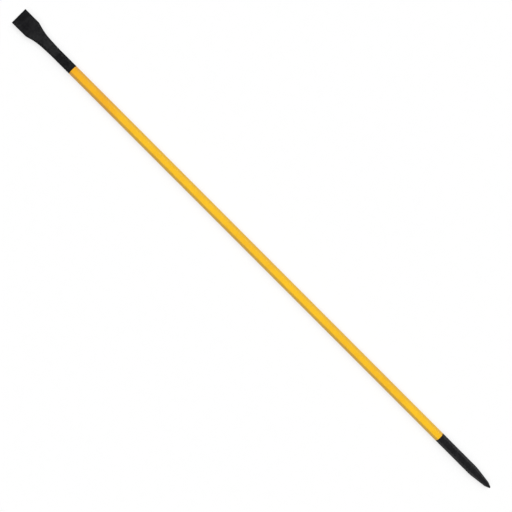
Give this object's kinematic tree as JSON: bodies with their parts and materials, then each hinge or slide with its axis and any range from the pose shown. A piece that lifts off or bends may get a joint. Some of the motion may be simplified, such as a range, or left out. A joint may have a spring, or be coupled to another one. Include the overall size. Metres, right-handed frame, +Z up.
{
  "type": "demolition bar",
  "caption": "Long straight hexagonal steel bar with a flat flared chisel blade at one end and a blunt pencil point at the other, for prying, breaking and digging.",
  "frame": {"origin": "centre of the bar's bounding box in X and Y, on the level of the flat that the bar lies on", "axes": "+X along the bar from the cutting edge to the point, +Y across the broad face of the blade, +Z up out of it"},
  "size_m": [1.8288, 0.0524, 0.0254],
  "materials": {
    "black_enamel": "satin",
    "yellow_enamel": "satin",
    "bare_steel": "satin"
  },
  "bodies": {
    "root": {"chisel_head": "black_enamel", "chisel_weld": "black_enamel", "shaft": "yellow_enamel", "point_weld": "black_enamel", "point_head": "black_enamel", "chisel_dowel": "bare_steel", "point_dowel": "bare_steel"}
  },
  "joints": []
}
